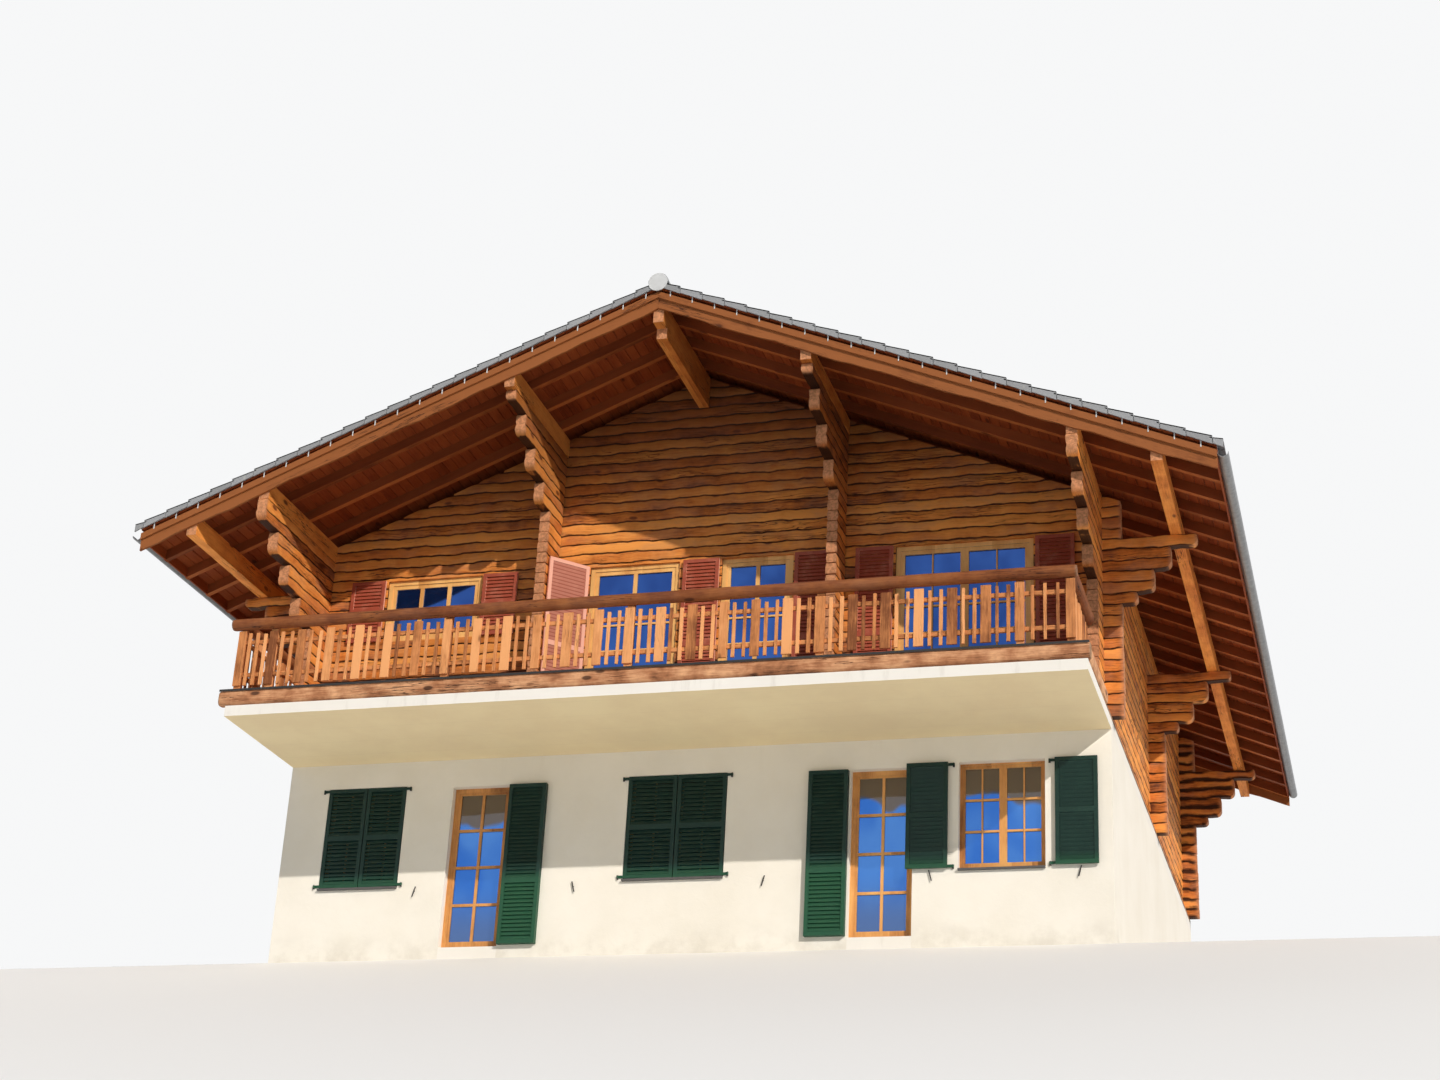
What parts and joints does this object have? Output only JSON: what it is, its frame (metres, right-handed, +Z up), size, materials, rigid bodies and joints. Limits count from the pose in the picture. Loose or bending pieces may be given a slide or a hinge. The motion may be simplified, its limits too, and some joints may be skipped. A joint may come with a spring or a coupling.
{
  "type": "alpine chalet",
  "caption": "House with a rendered masonry storey, a storey of notched round-faced logs, stepped log consoles, a wide low roof and a balcony with a boarded balustrade.",
  "frame": {"origin": "on the ground under the middle of the roof's outline", "axes": "+Z up, the balcony front faces -Y, +X to the right of somebody who looks at the front"},
  "size_m": [14.384, 13.1, 8.4931],
  "materials": {
    "render": "fine render, painted",
    "concrete": "painted concrete",
    "slate_sill": "honed",
    "honey_wood": "varnished",
    "pale_pine": "varnished",
    "glass": "clear",
    "green_paint": "painted, satin",
    "red_stain": "stained",
    "iron": "blackened",
    "deck_wood": "oiled",
    "log": "stained, weathered",
    "dark_log": "weathered",
    "rail_wood": "weathered",
    "rafter_wood": "stained",
    "soffit_wood": "stained",
    "tile": "weathered",
    "ridge_cap": "weathered",
    "zinc": "dull"
  },
  "bodies": {
    "house": {"ground_floor": "concrete", "front_wall_left": "render", "front_wall_middle": "render", "front_wall_right": "render", "lintel_left": "render", "lintel_right": "render", "left_wall": "render", "right_wall": "render", "rear_wall": "render", "window_sills": "slate_sill", "ground_window_frames": "honey_wood", "ground_glass": "glass", "door_frames": "honey_wood", "shutter_pintles": "iron", "door_shutters": "green_paint", "balcony_slab": "concrete", "deck": "deck_wood", "edge_logs": "dark_log", "front_log_wall": "log", "rear_log_wall": "log", "left_log_wall": "log", "right_log_wall": "log", "cross_wall_ends": "log", "front_consoles": "log", "rear_consoles": "log", "upper_window_frames": "pale_pine", "upper_glass": "glass", "upper_shutters": "red_stain", "ridge_purlin": "log", "mid_purlins": "log", "wall_purlins": "log", "eave_purlins": "log", "rafters_left": "rafter_wood", "rafters_right": "rafter_wood", "roof_boards_left": "soffit_wood", "roof_boards_right": "soffit_wood", "tiles_left": "tile", "tiles_right": "tile", "ridge_tiles": "tile", "ridge_caps": "ridge_cap", "verge_boards_front": "dark_log", "verge_boards_rear": "dark_log", "gutters": "zinc", "handrail": "dark_log", "balustrade_posts": "rail_wood", "balustrade_boards": "rail_wood"},
    "left_door_leaf": {"door_left": "honey_wood", "door_left_glass": "glass"},
    "right_door_leaf": {"door_right": "honey_wood", "door_right_glass": "glass"},
    "window_1_left_shutter": {"shutter_1_left": "green_paint"},
    "window_1_right_shutter": {"shutter_1_right": "green_paint"},
    "window_2_left_shutter": {"shutter_2_left": "green_paint"},
    "window_2_right_shutter": {"shutter_2_right": "green_paint"},
    "window_3_left_shutter": {"shutter_3_left": "green_paint"},
    "window_3_right_shutter": {"shutter_3_right": "green_paint"}
  },
  "joints": [
    {"name": "left_door_swing", "type": "hinge", "parent": "house", "child": "left_door_leaf", "pos_m": [-3.086, -4.175, 0.15], "axis": [0, 0, 1], "range_deg": [0, 100]},
    {"name": "right_door_swing", "type": "hinge", "parent": "house", "child": "right_door_leaf", "pos_m": [2.996, -4.175, 0.15], "axis": [0, 0, -1], "range_deg": [0, 100]},
    {"name": "window_1_left_shutter_swing", "type": "hinge", "parent": "house", "child": "window_1_left_shutter", "pos_m": [-4.97, -4.365, 0.15], "axis": [0, 0, -1], "range_deg": [0, 180]},
    {"name": "window_1_right_shutter_swing", "type": "hinge", "parent": "house", "child": "window_1_right_shutter", "pos_m": [-3.73, -4.365, 0.15], "axis": [0, 0, 1], "range_deg": [0, 180]},
    {"name": "window_2_left_shutter_swing", "type": "hinge", "parent": "house", "child": "window_2_left_shutter", "pos_m": [-0.76, -4.365, 0.15], "axis": [0, 0, -1], "range_deg": [0, 180]},
    {"name": "window_2_right_shutter_swing", "type": "hinge", "parent": "house", "child": "window_2_right_shutter", "pos_m": [0.69, -4.365, 0.15], "axis": [0, 0, 1], "range_deg": [0, 180]},
    {"name": "window_3_left_shutter_swing", "type": "hinge", "parent": "house", "child": "window_3_left_shutter", "pos_m": [3.55, -4.365, 0.15], "axis": [0, 0, -1], "range_deg": [-180, 0]},
    {"name": "window_3_right_shutter_swing", "type": "hinge", "parent": "house", "child": "window_3_right_shutter", "pos_m": [4.74, -4.365, 0.15], "axis": [0, 0, 1], "range_deg": [-180, 0]}
  ]
}
